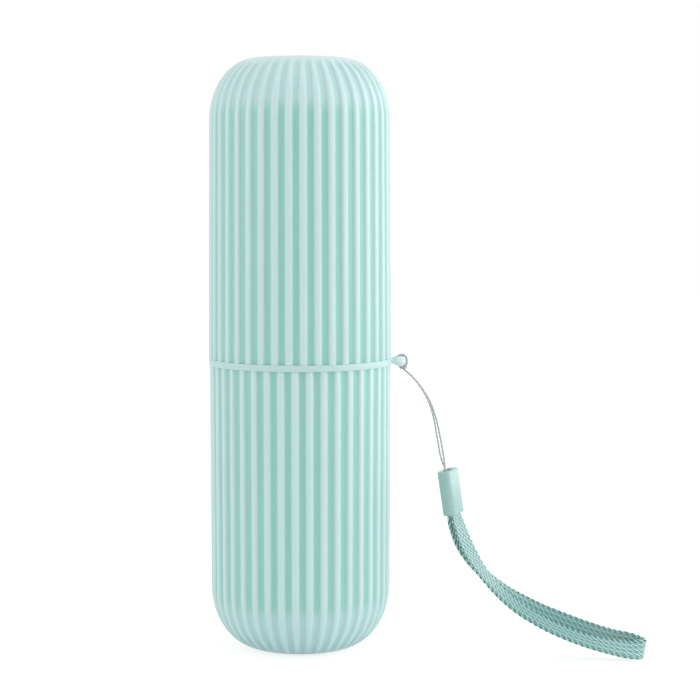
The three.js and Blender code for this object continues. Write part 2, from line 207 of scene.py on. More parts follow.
# The tape's run out to the fold and back, measured from the eyelet's middle: x, y and z, then the
# way its width points, in degrees: turned from +X up to +Z, then leaning back towards +Y.
TAPE_RUN = [
    (20, -5.9, -54.6, 16, 56),
    (21.1, -6.5, -57.6, 18, 54),
    (22.45, -7.2, -61.5, 24, 48),
    (25.15, -8.6, -67.1, 31, 51),
    (28.7, -10.4, -72.6, 36, 62),
    (32.4, -12.3, -76.9, 42, 65),
    (36.5, -14.4, -80.7, 49, 64),
    (41.1, -16.6, -84.2, 56, 64),
    (48.1, -19.4, -88.1, 62, 64),
    (54.7, -21.8, -91, 68, 65),
    (63.4, -23.6, -93.9, 75, 61),
    (71.3, -24.6, -95.7, 82, 52),
    (77.4, -24.8, -96.8, 87, 43),
    (81.5, -23.8, -97, 84, 20),
    (83.4, -21.6, -96.9, 79, 5),
    (82.8, -19.4, -96.7, 82, -8),
    (79.1, -17.8, -95.4, 87, -15),
    (72.9, -16.4, -94.4, 81, -15),
    (64, -15.4, -91.9, 74, -11),
    (54.8, -14.6, -88.7, 67, -4),
    (48.2, -13.9, -86.2, 61, 7),
    (41.9, -13.1, -83.1, 55, 23),
    (36.9, -11.4, -80.1, 49, 43),
    (32.6, -9.3, -76.6, 42, 61),
    (28.3, -7.3, -72.9, 36, 67),
    (24.3, -5.7, -68.5, 31, 64),
    (21.15, -4.6, -63.3, 24, 60),
    (19.25, -4.3, -57.7, 16, 57),
    (18.75, -4.9, -55.1, 16, 56),
]


def place_camera():
    """The camera at the photograph's viewing angle."""
    lens = bpy.data.cameras.new("photo_camera")
    lens.sensor_width = SENSOR_WIDTH
    lens.lens = LENS
    lens.clip_start = 0.01
    camera = bpy.data.objects.new("photo_camera", lens)
    camera.location = CAMERA_PLACE
    camera.rotation_euler = (math.radians(90 - CAMERA_DIP), 0, 0)
    bpy.context.scene.collection.objects.link(camera)
    bpy.context.scene.camera = camera


def smooth_run(points, per_leg):
    """Points on one smooth curve through the given ones, with the same number on each leg."""
    line = []
    for leg in range(len(points) - 1):
        here, there = points[leg], points[leg + 1]
        before = points[leg - 1] if leg else here * 2 - there
        after = points[leg + 2] if leg + 2 < len(points) else there * 2 - here
        gap_in = max(math.sqrt((here - before).length), 1e-4)
        gap = max(math.sqrt((there - here).length), 1e-4)
        gap_out = max(math.sqrt((after - there).length), 1e-4)
        leave = (here - before) / gap_in - (there - before) / (gap_in + gap) + (there - here) / gap
        arrive = (there - here) / gap - (after - here) / (gap + gap_out) + (after - there) / gap_out
        handle_out = here + leave * gap / 3
        handle_in = there - arrive * gap / 3
        line += interpolate_bezier(here, handle_out, handle_in, there, per_leg + 1)[:-1]
    return line + [points[-1].copy()]


def tangents(line):
    """The direction of a line at each of its points."""
    ends = [(line[max(i - 1, 0)], line[min(i + 1, len(line) - 1)]) for i in range(len(line))]
    return [(b - a).normalized() for a, b in ends]


def tube(bm, line, across, out, section, lay, along, painted_light_shares=None, closed=False):
    """A tube over a line: at each point the section's corners lie along its two directions.

    The lay tells the material where round the tube a point is, drawn in by the painted light share so that
    the tube gets painted shade where it dips, and how far along.
    """
    sides = len(section)
    grid = bmesh.ops.create_grid(bm, x_segments=len(line) - 1, y_segments=sides, size=0.5)
    for vertex in grid["verts"]:
        row = round((vertex.co.x + 0.5) * (len(line) - 1))
        side = round((vertex.co.y + 0.5) * sides) % sides
        wide, thick = section[side]
        vertex.co = line[row] + across[row] * wide + out[row] * thick
        angle = 2 * math.pi * side / sides
        high = painted_light_shares[row] if painted_light_shares else 1.0
        vertex[lay] = (high * math.cos(angle), high * math.sin(angle), along[row])
    bmesh.ops.remove_doubles(bm, verts=grid["verts"], dist=1e-5)
    if not closed:
        loose = [e for e in bm.edges if e.is_boundary]
        bmesh.ops.holes_fill(bm, edges=loose, sides=sides)


def ellipse(half_width, half_thickness, sides):
    angles = [2 * math.pi * i / sides for i in range(sides)]
    return [(half_width * math.cos(a), half_thickness * math.sin(a)) for a in angles]


def finish_piece(bm, name, body, node, material, sharp=None):
    """The bmesh as a piece of the object, in metres, in place of a CAD node."""
    bmesh.ops.recalc_face_normals(bm, faces=bm.faces)
    bmesh.ops.scale(bm, vec=(MM, MM, MM), verts=bm.verts)
    for face in bm.faces:
        face.smooth = True
    mesh = bpy.data.meshes.new(name)
    bm.to_mesh(mesh)
    bm.free()
    if sharp:
        mesh.set_sharp_from_angle(angle=math.radians(sharp))
    mesh.materials.append(material)
    piece = bpy.data.objects.new(name, mesh)
    bpy.context.scene.collection.objects.link(piece)
    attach(piece, body)
    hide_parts(node)
    return piece


# Materials


def new_group(name, inputs, outputs):
    """A shader node group with named sockets, and its input and output nodes."""
    group = bpy.data.node_groups.new(name, "ShaderNodeTree")
    for label, kind, value in inputs:
        socket = group.interface.new_socket(label, in_out="INPUT", socket_type=kind)
        socket.default_value = value
    for label, kind in outputs:
        group.interface.new_socket(label, in_out="OUTPUT", socket_type=kind)
    return group, group.nodes.new("NodeGroupInput"), group.nodes.new("NodeGroupOutput")


def value_node(tree, operation, first, second=None):
    """A Math node on two sockets or numbers."""
    node = tree.nodes.new("ShaderNodeMath")
    node.operation = operation
    for socket, value in zip(node.inputs, (first, second)):
        if isinstance(value, bpy.types.NodeSocket):
            tree.links.new(value, socket)
        elif value is not None:
            socket.default_value = value
    return node.outputs[0]


def moulded_skin_group():
    """Fine grain and slow unevenness of a moulded plastic surface."""
    group, given, result = new_group(
        "moulded_skin",
        [
            ("Vector", "NodeSocketVector", (0, 0, 0)),
            ("Grain", "NodeSocketFloat", 2600.0),
            ("Roughness", "NodeSocketFloat", 0.4),
        ],
        [("Tone", "NodeSocketFloat"), ("Roughness", "NodeSocketFloat"), ("Height", "NodeSocketFloat")],
    )
    slow = group.nodes.new("ShaderNodeTexNoise")
    slow.inputs["Scale"].default_value = 38.0
    slow.inputs["Detail"].default_value = 3.0
    fine = group.nodes.new("ShaderNodeTexNoise")
    fine.inputs["Detail"].default_value = 2.0
    group.links.new(given.outputs["Vector"], slow.inputs["Vector"])
    group.links.new(given.outputs["Vector"], fine.inputs["Vector"])
    group.links.new(given.outputs["Grain"], fine.inputs["Scale"])
    group.links.new(slow.outputs[0], result.inputs["Tone"])
    uneven = value_node(group, "MULTIPLY_ADD", slow.outputs[0], 0.12)
    uneven.node.inputs[2].default_value = -0.06
    grainy = value_node(group, "MULTIPLY_ADD", fine.outputs[0], 0.1)
    grainy.node.inputs[2].default_value = -0.05
    wobble = value_node(group, "ADD", uneven, grainy)
    total = value_node(group, "ADD", given.outputs["Roughness"], wobble)
    group.links.new(total, result.inputs["Roughness"])
    group.links.new(fine.outputs[0], result.inputs["Height"])
    return group


def filament_group():
    """Streaks of fine filaments along a yarn, from the yarn's own lay."""
    group, given, result = new_group(
        "filament_lay",
        [
            ("Lay", "NodeSocketVector", (0, 0, 0)),
            ("Around", "NodeSocketFloat", 5.0),
            ("Along", "NodeSocketFloat", 0.9),
        ],
        [("Streak", "NodeSocketFloat"), ("Fade", "NodeSocketFloat")],
    )
    stretch = group.nodes.new("ShaderNodeCombineXYZ")
    for label, source in (("X", "Around"), ("Y", "Around"), ("Z", "Along")):
        group.links.new(given.outputs[source], stretch.inputs[label])
    laid = group.nodes.new("ShaderNodeVectorMath")
    laid.operation = "MULTIPLY"
    group.links.new(given.outputs["Lay"], laid.inputs[0])
    group.links.new(stretch.outputs[0], laid.inputs[1])
    streak = group.nodes.new("ShaderNodeTexNoise")
    streak.inputs["Scale"].default_value = 1.0
    streak.inputs["Detail"].default_value = 2.5
    fade = group.nodes.new("ShaderNodeTexNoise")
    fade.inputs["Scale"].default_value = 0.35
    fade.inputs["Detail"].default_value = 2.0
    group.links.new(laid.outputs[0], streak.inputs["Vector"])
    group.links.new(given.outputs["Lay"], fade.inputs["Vector"])
    group.links.new(streak.outputs[0], result.inputs["Streak"])
    group.links.new(fade.outputs[0], result.inputs["Fade"])
    return group


def new_material(name):
    material = bpy.data.materials.new(name)
    material.use_nodes = True
    tree = material.node_tree
    return material, tree, tree.nodes["Principled BSDF"]


def colour_mix(tree, factor, first, second):
    """A colour between two, by a factor socket; each colour is a socket or four numbers."""
    node = tree.nodes.new("ShaderNodeMix")
    node.data_type = "RGBA"
    tree.links.new(factor, node.inputs["Factor"])
    for socket, value in ((node.inputs[6], first), (node.inputs[7], second)):
        if isinstance(value, bpy.types.NodeSocket):
            tree.links.new(value, socket)
        else:
            socket.default_value = value
    return node.outputs[2]


def bump(tree, height, strength, distance):
    node = tree.nodes.new("ShaderNodeBump")
    node.inputs["Strength"].default_value = strength
    node.inputs["Distance"].default_value = distance
    tree.links.new(height, node.inputs["Height"])
    return node.outputs[0]


def plastic(name, skin, plain, plain_drift, painted_shading_colour=None, painted_shading_drift=None, roughness=0.4, shine=0.5):
    """Satin moulded plastic. With a second colour, it goes over to that by the mesh's painted shading share:
    painted shade in the grooves, painted light on the eyelet.
    """
    material, tree, shader = new_material(name)
    place = tree.nodes.new("ShaderNodeTexCoord")
    grain = tree.nodes.new("ShaderNodeGroup")
    grain.node_tree = skin
    grain.inputs["Roughness"].default_value = roughness
    shader.inputs["Specular IOR Level"].default_value = shine
    tree.links.new(place.outputs["Object"], grain.inputs["Vector"])
    colour = colour_mix(tree, grain.outputs["Tone"], plain, plain_drift)
    if painted_shading_colour:
        painted_shading = tree.nodes.new("ShaderNodeAttribute")
        painted_shading.attribute_name = "painted_shading"
        other = colour_mix(tree, grain.outputs["Tone"], painted_shading_colour, painted_shading_drift)
        colour = colour_mix(tree, painted_shading.outputs["Fac"], colour, other)
    tree.links.new(colour, shader.inputs["Base Color"])
    tree.links.new(grain.outputs["Roughness"], shader.inputs["Roughness"])
    normal = bump(tree, grain.outputs["Height"], strength=0.08, distance=0.00004)
    tree.links.new(normal, shader.inputs["Normal"])
    return material


def soft_range(tree, value, start, end, first=0.0, last=1.0):
    """A socket's value taken smoothly from one range to another."""
    node = tree.nodes.new("ShaderNodeMapRange")
    node.interpolation_type = "SMOOTHSTEP"
    node.inputs["From Min"].default_value = start
    node.inputs["From Max"].default_value = end
    node.inputs["To Min"].default_value = first
    node.inputs["To Max"].default_value = last
    tree.links.new(value, node.inputs["Value"])
    return node.outputs[0]


def painted_low_shade(tree, colour, low):
    """A colour darkened as painted shade near the ground, less so towards the tape's fold."""
    place = tree.nodes.new("ShaderNodeTexCoord")
    level = tree.nodes.new("ShaderNodeSeparateXYZ")
    tree.links.new(place.outputs["Object"], level.inputs[0])
    near = soft_range(tree, level.outputs["Z"], LOW_SHADE_FROM, LOW_SHADE_FULL)
    far = soft_range(tree, level.outputs["X"], FOLD_FROM, FOLD_FULL, 1.0, FOLD_SHARE)
    node = tree.nodes.new("ShaderNodeMix")
    node.data_type = "RGBA"
    node.blend_type = "MULTIPLY"
    tree.links.new(value_node(tree, "MULTIPLY", near, far), node.inputs["Factor"])
    tree.links.new(colour, node.inputs[6])
    node.inputs[7].default_value = low
    return node.outputs[2]


def yarn(name, filaments, light, dark, roughness, sheen, gap=None, low=None):
    """Twisted or braided filament yarn. With a gap colour, it gets painted shade at its sides and where it
    dips.

    With a low colour, it gets painted shade near the ground.
    """
    material, tree, shader = new_material(name)
    lay = tree.nodes.new("ShaderNodeAttribute")
    lay.attribute_name = "lay"
    fibre = tree.nodes.new("ShaderNodeGroup")
    fibre.node_tree = filaments
    tree.links.new(lay.outputs["Vector"], fibre.inputs["Lay"])
    mixed = value_node(tree, "MULTIPLY_ADD", fibre.outputs["Streak"], STREAK_SHARE)
    faded = value_node(tree, "MULTIPLY", fibre.outputs["Fade"], 1 - STREAK_SHARE)
    tree.links.new(faded, mixed.node.inputs[2])
    colour = colour_mix(tree, mixed, dark, light)
    if low:
        colour = painted_low_shade(tree, colour, low)
    # Painted shade: the gap colour covers a yarn's sides and dips, standing in for the shade between the
    # yarns.
    if gap:
        height = tree.nodes.new("ShaderNodeSeparateXYZ")
        tree.links.new(lay.outputs["Vector"], height.inputs[0])
        crown = soft_range(tree, height.outputs["Y"], *CROWN)
        colour = colour_mix(tree, crown, gap, colour)
    tree.links.new(colour, shader.inputs["Base Color"])
    shader.inputs["Roughness"].default_value = roughness
    shader.inputs["Sheen Weight"].default_value = sheen
    shader.inputs["Sheen Roughness"].default_value = 0.4
    normal = bump(tree, fibre.outputs["Streak"], strength=0.5, distance=0.00008)
    tree.links.new(normal, shader.inputs["Normal"])
    return material


# Pieces


def thread_points():
    """The thread's route: up one strand, round the eyelet in a hitch, and down the other strand."""
    reach = THREAD_DIAMETER / 2 + THREAD_GAP
    outside = EYE_RADIUS + reach
    turn_radius = (outside + THREAD_IN) / 2
    turn_height = EYE_THICKNESS / 2 + reach - turn_radius
    below = -EYE_THICKNESS / 2 - reach
    shift = FERRULE_RISE.cross(ferrule_face()) * THREAD_SHIFT

    def strand(side):
        y = side * STRAND_SPREAD
        points = []
        for height in (THREAD_START, THREAD_START + THREAD_DIAMETER):
            points.append(FERRULE_FOOT + FERRULE_RISE * height + shift + Vector((0, y, 0)))
        for run_x, run_y, run_z, spread_x, spread_y in reversed(THREAD_RUN):
            points.append(Vector((run_x + side * spread_x, run_y + side * spread_y, run_z)))
        points.append(Vector((outside / 2, y, HITCH_HEIGHT)))
        points.append(Vector((outside - THREAD_GAP, y, below + THREAD_DIAMETER)))
        points.append(Vector((outside, y, 0)))
        for step in range(5):
            angle = math.pi * step / 4
            x = turn_radius * (1 + math.cos(angle)) - THREAD_IN
            points.append(Vector((x, y, turn_height + turn_radius * math.sin(angle))))
        points.append(Vector((-HOLE_INSET, y, below / 3)))
        points.append(Vector((-THREAD_OUT, y, below + THREAD_DIAMETER)))
        return points

    bight = []
    for degrees in (-145, -100, -55, 0, 55, 100, 145):
        angle = math.radians(degrees)
        x = outside / 2 + HITCH_REACH * math.cos(angle)
        bight.append(Vector((x, HITCH_WIDTH * math.sin(angle), HITCH_HEIGHT)))
    return [EYELET + point for point in strand(-1) + bight + strand(1)[::-1]]


def make_thread(material):
    """Two plies twisted round each other, over the thread's whole route."""
    line = smooth_run(thread_points(), THREAD_STEPS)
    ways = tangents(line)
    side = ways[0].orthogonal().normalized()
    across, out, along = [], [], []
    length = 0.0
    for i, way in enumerate(ways):
        if i:
            length += (line[i] - line[i - 1]).length
        side = (side - way * side.dot(way)).normalized()
        twist = Matrix.Rotation(2 * math.pi * length / PLY_LEAD, 3, way)
        across.append(twist @ side)
        out.append(twist @ way.cross(side))
        along.append(length)
    section = []
    for wide, thick in ellipse(PLY_RADIUS, PLY_RADIUS, 12):
        ply = PLY_OFFSET if wide > 0 else -PLY_OFFSET if wide < -1e-6 else 0
        section.append((ply + wide, thick))
    bm = bmesh.new()
    lay = bm.verts.layers.float_vector.new("lay")
    tube(bm, line, across, out, section, lay, along)
    piece = finish_piece(bm, "hitched_thread", "ring", "thread_loop", material)
    return piece, line, length


def width_direction(rise, lean):
    """The way the tape's width points, from its two angles in degrees."""
    up, back = math.radians(rise), math.radians(lean)
    return Vector((math.cos(back) * math.cos(up), math.sin(back), math.cos(back) * math.sin(up)))


def ferrule_face():
    """The way the flat of the ferrule faces, which is how the tape lies in it."""
    return width_direction(*TAPE_RUN[0][3:]).cross(FERRULE_RISE).normalized()


def tape_stations():
    """The tape's middle line with its width and face directions, at even steps."""
    rise, lean = TAPE_RUN[0][3:]
    face = ferrule_face()
    middles, turns = [], []

    def held(height, side):
        middles.append(FERRULE_FOOT + FERRULE_RISE * height + face * side * LAYER_SPACE / 2)
        turns.append(Vector((rise, lean, GATHERED_WIDTH)))

    held(TAPE_SOCKET, 1)
    held(0, 1)
    for x, y, z, turn, tip in TAPE_RUN:
        middles.append(Vector((x, y, z)))
        turns.append(Vector((turn, tip, TAPE_WIDTH)))
    held(0, -1)
    held(TAPE_SOCKET, -1)
    line = [EYELET + point for point in smooth_run(middles, TAPE_STEPS)]
    stations = []
    length = 0.0
    for i, (way, turn) in enumerate(zip(tangents(line), smooth_run(turns, TAPE_STEPS))):
        if i:
            length += (line[i] - line[i - 1]).length
        width = width_direction(turn.x, turn.y)
        width = (width - way * width.dot(way)).normalized()
        stations.append((length, line[i], width, way.cross(width), turn.z))
    return stations


def between(stations, length, start):
    """The tape's middle, directions and width at a length along it; start is the last station used."""
    while start < len(stations) - 2 and stations[start + 1][0] < length:
        start += 1
    a, b = stations[start], stations[start + 1]
    share = (length - a[0]) / (b[0] - a[0])
    middle, width, face = (a[k].lerp(b[k], share) for k in (1, 2, 3))
    return middle, width.normalized(), face.normalized(), a[4] + (b[4] - a[4]) * share, start


def round_tape(place, half_width):
    """Across and out on the flattened round of the braid, and the outward direction there."""
    edge = BRAID_HALF_THICKNESS
    flat = half_width - edge
    turn = math.pi * edge
    place = place % (4 * flat + 2 * turn)
    if place < 2 * flat:
        return place - flat, edge, (0.0, 1.0)
    place -= 2 * flat
    if place < turn:
        angle = math.pi / 2 - place / edge
        return flat + edge * math.cos(angle), edge * math.sin(angle), (math.cos(angle), math.sin(angle))
    place -= turn
    if place < 2 * flat:
        return flat - place, -edge, (0.0, -1.0)
    angle = -math.pi / 2 - (place - 2 * flat) / edge
    return -flat + edge * math.cos(angle), edge * math.sin(angle), (math.cos(angle), math.sin(angle))


def favour(way_round, at):
    """How far the yarns of one way round stand out from the others, at a length along the tape.

    It goes from -1 to 1. The yarns that stand out just after the start aren't those that do further on.
    """
    further = smoothstep(at, *FAVOUR_TURNS)
    return -way_round * (FAVOUR_NEAR + (FAVOUR_FAR - FAVOUR_NEAR) * further)


def make_strap(material):
    """The tape braided from yarns that go round it both ways, each over two and under two."""
    stations = tape_stations()
    length = stations[-1][0]
    half_width = TAPE_WIDTH / 2 - YARN_LIFT - YARN_HALF_THICKNESS
    around = 4 * (half_width - BRAID_HALF_THICKNESS) + 2 * math.pi * BRAID_HALF_THICKNESS
    crossings = 2 * YARNS_EACH_WAY * length / BRAID_LEAD
    steps = round(2 * crossings)
    bm = bmesh.new()
    lay = bm.verts.layers.float_vector.new("lay")
    section = ellipse(YARN_HALF_WIDTH, YARN_HALF_THICKNESS, 6)
    for way_round in (-1, 1):
        for index in range(YARNS_EACH_WAY):
            line, outs, along, painted_light_shares, plump = [], [], [], [], []
            start = 0
            for step in range(steps + 1):
                at = length * step / steps
                crossing = crossings * step / steps
                wave = crossing + 2 * index if way_round > 0 else 2 * index - crossing
                rise = way_round * math.cos(math.pi / 2 * (wave - 0.5)) - RISE_BIAS
                rise = max(-1.0, min(1.0, RISE_GAIN * rise))
                middle, width, face, wide, start = between(stations, at, start)
                place = around * (index / YARNS_EACH_WAY + way_round * at / BRAID_LEAD)
                across, out, normal = round_tape(place, half_width)
                narrow = wide / TAPE_WIDTH
                outward = (width * normal[0] + face * normal[1]).normalized()
                shown = favour(way_round, at)
                lift = YARN_LIFT * rise + FAVOUR_LIFT * shown
                line.append(middle + width * across * narrow + face * out + outward * lift)
                outs.append(outward)
                along.append(at + YARN_APART * index + WAY_APART * way_round)
                plump.append(1 + FAVOUR_WIDTH * shown)
                # Painted light and shade: paler near the ferrule, darker at the tape's near edge there,
                # lighter on a yarn's tops and darker in its dips.
                held = 1 - smoothstep(min(at, length - at), *PAINTED_PALE_FADES)
                edge = held * smoothstep(-across / half_width, EDGE_FROM, 1.0)
                painted_light = OPEN_SHARE + OPEN_FAVOUR * shown + OPEN_HELD * held
                painted_light += (OPEN_RISE + OPEN_RISE_FAVOUR * shown) * rise
                painted_light_shares.append(painted_light * (1 - EDGE_SHADE * edge))
            ways = tangents(line)
            sides = [way.cross(out).normalized() * size for way, out, size in zip(ways, outs, plump)]
            tube(bm, line, sides, outs, section, lay, along, painted_light_shares)
    # Painted shade: a dark flat sheet inside the braid, all in the gap colour, stands in for the shade
    # between its two faces.
    sheet_line, sheet_across, sheet_out, sheet_along = [], [], [], []
    for at, middle, width, face, wide in stations[::SHADE_SHEET_STRIDE]:
        sheet_line.append(middle)
        sheet_across.append(width * wide / TAPE_WIDTH)
        sheet_out.append(face)
        sheet_along.append(at)
    shade_sheet = ellipse(half_width - SHADE_SHEET_INSET, SHADE_SHEET_HALF_THICKNESS, 8)
    tube(bm, sheet_line, sheet_across, sheet_out, shade_sheet, lay, sheet_along, [0.0] * len(sheet_line))
    piece = finish_piece(bm, "braided_strap", "ring", "wrist_strap", material)
    return piece, [station[1] for station in stations], length


def dome_outline(flat, side, low, high, steps):
    """Radius, height and outward direction along a quarter ellipse, from its flat to the side."""
    outline = []
    for i in range(steps + 1):
        angle = math.pi / 2 * i / steps
        out = Vector((math.sin(angle) / (side - flat), -math.cos(angle) / (high - low))).normalized()
        radius = flat + (side - flat) * math.sin(angle)
        outline.append((radius, low + (high - low) * (1 - math.cos(angle)), out))
    return outline


def smoothstep(value, low, high):
    share = max(0.0, min(1.0, (value - low) / (high - low)))
    return share * share * (3 - 2 * share)


def fluted_half(rim_radius, rim_height, after_rim):
    """One fluted half standing on its flat: the ribbed skin, then the plain outline after its rim."""
    bm = bmesh.new()
    flute = bm.verts.layers.float_vector.new("flute")
    painted_shading = bm.verts.layers.float.new("painted_shading")
    skin = dome_outline(FLAT_RADIUS, SIDE_RADIUS, 0, DOME_HEIGHT, DOME_STEPS)
    radial = Vector((1, 0))
    for share in (0.2, 0.4, 0.6, 0.8):
        radius = SIDE_RADIUS + (rim_radius - SIDE_RADIUS) * share
        skin.append((radius, DOME_HEIGHT + (rim_height - DOME_HEIGHT) * share, radial))
    for step in range(5):
        angle = math.pi / 2 * step / 4
        radius = rim_radius - RIM_ROUND * (1 - math.cos(angle))
        skin.append((radius, rim_height - RIM_ROUND * (1 - math.sin(angle)), radial))
    verts = [bm.verts.new((0, 0, 0))]
    for radius, height, out in skin:
        vertex = bm.verts.new((radius, 0, height))
        fade = smoothstep(radius, RIB_START_RADIUS, RIB_FULL_RADIUS)
        if height >= DOME_HEIGHT:
            fade = 1.0
        vertex[flute] = (fade * out.x, fade * out.y, fade)
        verts.append(vertex)
    verts += [bm.verts.new((radius, 0, height)) for radius, height in after_rim]
    edges = [bm.edges.new(pair) for pair in zip(verts, verts[1:])]
    columns = RIB_COLUMNS + [1 - share for share in RIB_COLUMNS[-2:0:-1]]
    steps = RIB_COUNT * len(columns)
    bmesh.ops.spin(
        bm, geom=verts + edges, cent=(0, 0, 0), axis=(0, 0, 1), angle=2 * math.pi, steps=steps, use_merge=True
    )
    bmesh.ops.remove_doubles(bm, verts=bm.verts, dist=1e-4)
    pitch = 2 * math.pi / RIB_COUNT
    for vertex in bm.verts:
        radius = math.hypot(vertex.co.x, vertex.co.y)
        if radius < 1e-3:
            continue
        turn = math.atan2(vertex.co.y, vertex.co.x) % (2 * math.pi)
        rib, column = divmod(round(turn / (2 * math.pi) * steps) % steps, len(columns))
        share = columns[column]
        angle = (rib + share) * pitch
        depth = smoothstep(min(share, 1 - share), *FLANK)
        radius -= GROOVE_DEPTH * depth * vertex[flute][0]
        height = vertex.co.z - GROOVE_DEPTH * depth * vertex[flute][1]
        # Painted shade: the groove floors get the darker colour, standing in for the shade that falls in
        # them.
        groove_shade = smoothstep(min(share, 1 - share), *GROOVE_PAINTED_SHADE) * vertex[flute][2]
        vertex[painted_shading] = groove_shade * (DOME_PAINTED_SHADE + (1 - DOME_PAINTED_SHADE) * smoothstep(height, *PAINTED_SHADE_GROWS))
        vertex.co = (radius * math.cos(angle), radius * math.sin(angle), height)
    bm.verts.layers.float_vector.remove(flute)
    return bm


def hollow_outline(bore, start):
    """The inside of a half, from a height on its bore down to the middle of its floor."""
    inner_flat = FLAT_RADIUS - END_THICKNESS / 2
    inside = dome_outline(inner_flat, bore, END_THICKNESS, DOME_HEIGHT, HOLLOW_STEPS)
    outline = [(bore, start + (DOME_HEIGHT - start) * share) for share in (0.0, 0.33, 0.66)]
    return outline + [(r, h) for r, h, out in reversed(inside)] + [(0, END_THICKNESS)]


def make_case(material):
    """The lower half with its plain neck."""
    shoulder = SEAM_HEIGHT - RING_THICKNESS - SEAM_LINE
    after_rim = [
        (NECK_RADIUS + NECK_FILLET, shoulder),
        (NECK_RADIUS, shoulder + NECK_FILLET),
        (NECK_RADIUS, NECK_TOP - NECK_SIDE_END),
    ]
    lip = (NECK_RADIUS - CASE_BORE) / 2
    for step in range(1, 8):
        angle = math.pi * step / 8
        after_rim.append((CASE_BORE + lip + lip * math.cos(angle), NECK_TOP - lip + lip * math.sin(angle)))
    bm = fluted_half(CASE_RIM_RADIUS, shoulder, after_rim + hollow_outline(CASE_BORE, NECK_TOP - lip))
    turn = Matrix.Rotation(math.radians(CASE_RIB_TURN), 3, "Z")
    bmesh.ops.rotate(bm, cent=(0, 0, 0), matrix=turn, verts=bm.verts)
    return finish_piece(bm, "fluted_case", "case", "brush_case", material, sharp=SHARP_EDGE)


def make_cup(material):
    """The upper half, turned over on the neck."""
    mouth = TOTAL_HEIGHT - SEAM_HEIGHT - SEAM_LINE
    after_rim = [
        (CUP_BORE + CUP_LIP, mouth),
        (CUP_BORE + CUP_LIP_MIDDLE, mouth - CUP_LIP_MIDDLE),
        (CUP_BORE, mouth - CUP_LIP),
    ]
    bm = fluted_half(CUP_RIM_RADIUS, mouth, after_rim + hollow_outline(CUP_BORE, mouth - CUP_LAND))
    over = Matrix.Rotation(math.pi, 4, "X")
    turn = Matrix.Rotation(math.radians(CUP_RIB_TURN), 4, "Z")
    lift = Matrix.Translation((0, 0, TOTAL_HEIGHT))
    bmesh.ops.transform(bm, matrix=lift @ turn @ over, verts=bm.verts)
    return finish_piece(bm, "fluted_cup", "cup", "rinse_cup", material, sharp=SHARP_EDGE)


def rounded_corner(radius, height, round_radius, start, steps=4):
    """Points of a quarter round about a centre, from a start angle in degrees, turning left."""
    points = []
    for step in range(steps + 1):
        angle = math.radians(start + 90 * step / steps)
        points.append((radius + round_radius * math.cos(angle), height + round_radius * math.sin(angle)))
    return points


def spun(bm, outline, steps):
    """Turns a closed outline of (radius, height) points about +Z."""
    verts = [bm.verts.new((radius, 0, height)) for radius, height in outline]
    edges = [bm.edges.new((a, b)) for a, b in zip(verts, verts[1:] + verts[:1])]
    bmesh.ops.spin(
        bm, geom=verts + edges, cent=(0, 0, 0), axis=(0, 0, 1), angle=2 * math.pi, steps=steps, use_merge=True
    )


